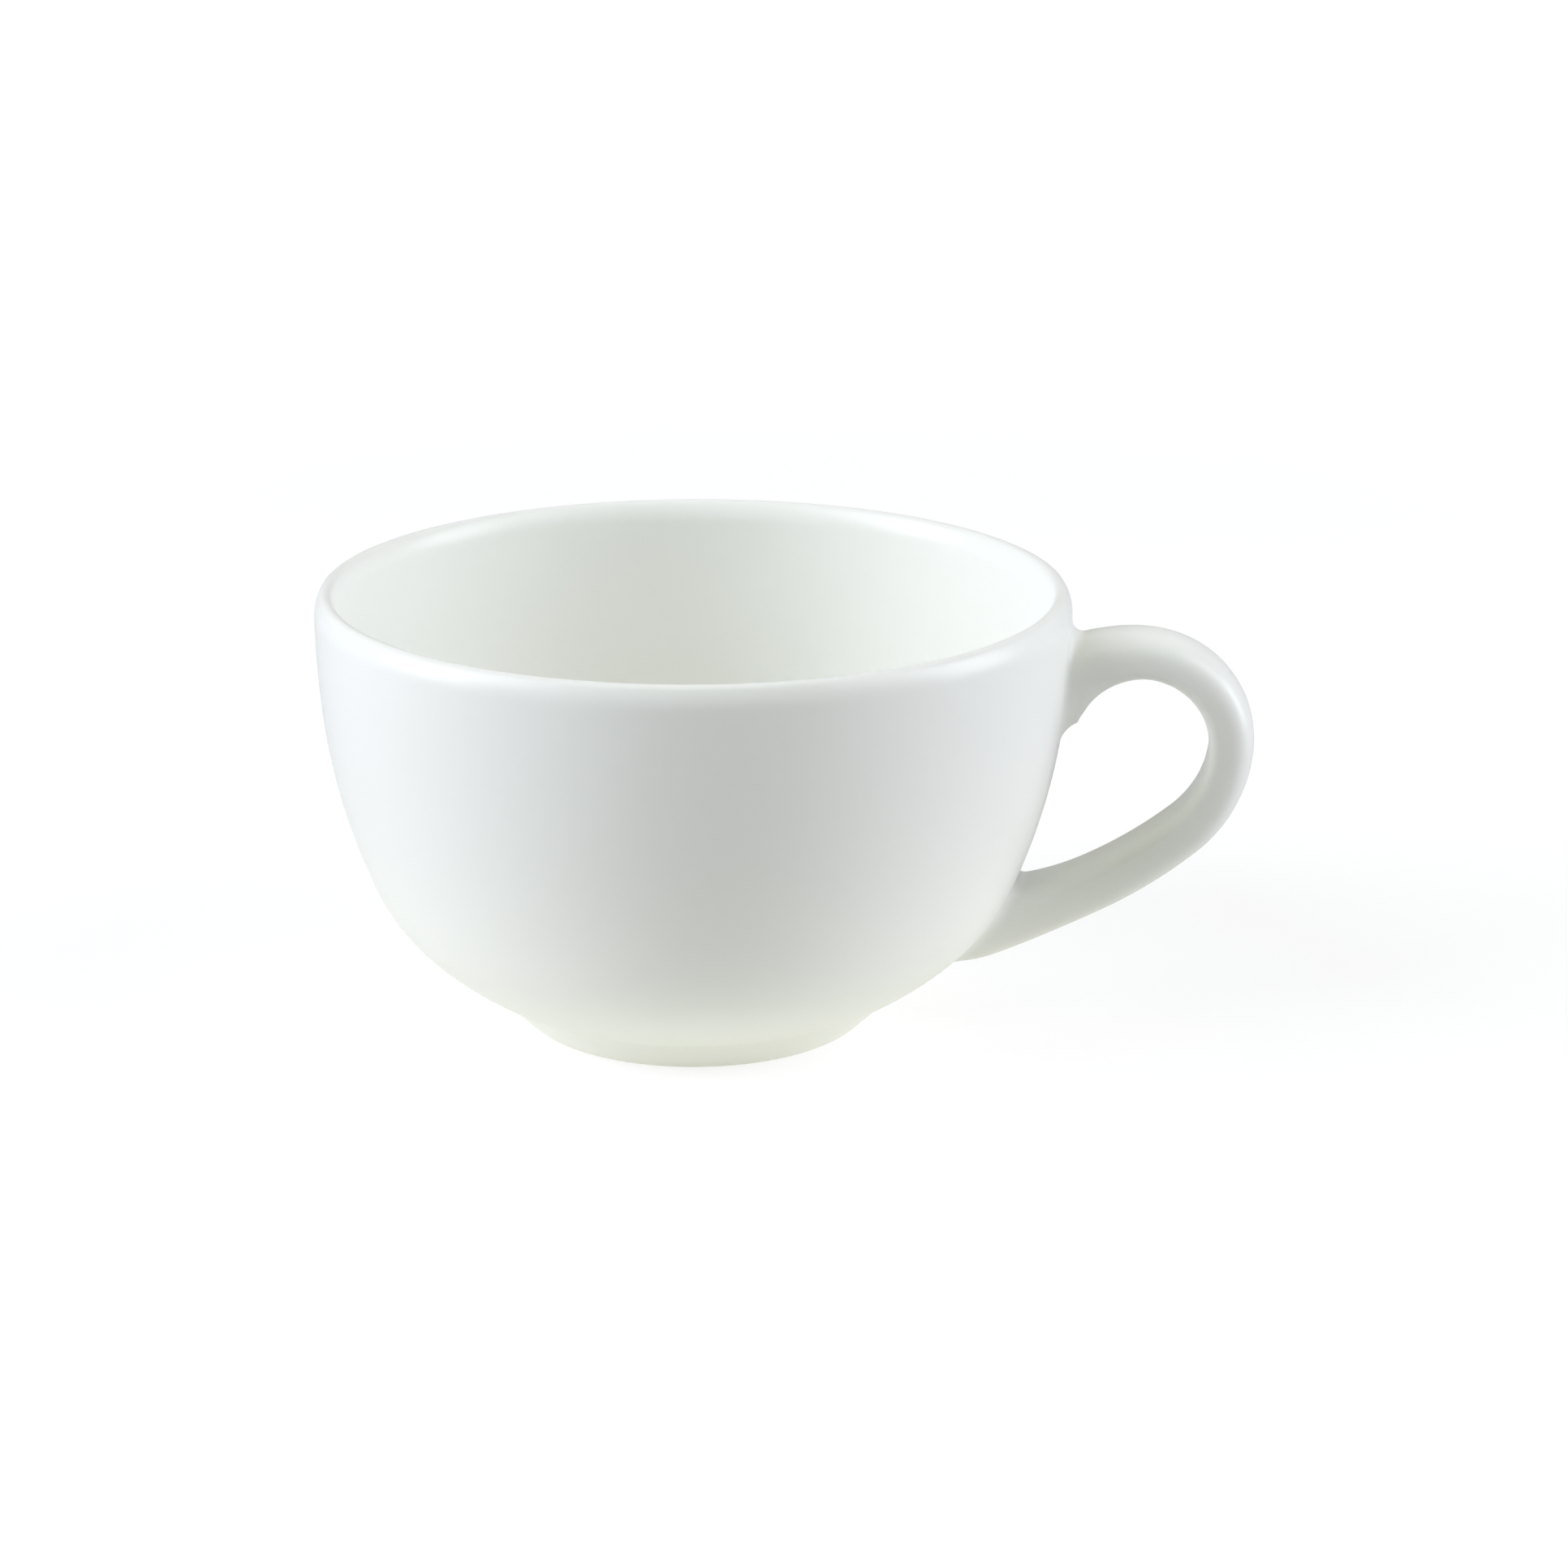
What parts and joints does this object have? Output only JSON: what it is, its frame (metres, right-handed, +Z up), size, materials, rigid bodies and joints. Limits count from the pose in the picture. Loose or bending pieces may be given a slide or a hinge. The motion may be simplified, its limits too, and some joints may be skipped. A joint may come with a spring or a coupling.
{
  "type": "cappuccino cup",
  "caption": "Plain white glazed porcelain cappuccino cup with a rounded bowl, a flared foot and one open loop handle.",
  "frame": {"origin": "centre of the bare standing ring, on the plane of the table", "axes": "+Z up along the axis of the bowl, +X towards the handle, +Y to the left of the handle seen from above with the handle pointing away"},
  "size_m": [0.1243, 0.1, 0.0598],
  "materials": {
    "porcelain": "fired porcelain body, matt where it is bare",
    "slip": "fired casting slip",
    "glaze": "glossy clear glaze over white porcelain"
  },
  "bodies": {
    "root": {"cup_body": "porcelain", "handle": "porcelain", "upper_slip_joint": "slip", "lower_slip_joint": "slip", "outer_glaze": "glaze", "inner_glaze": "glaze", "handle_glaze": "glaze", "foot_recess_glaze": "glaze"}
  },
  "joints": []
}
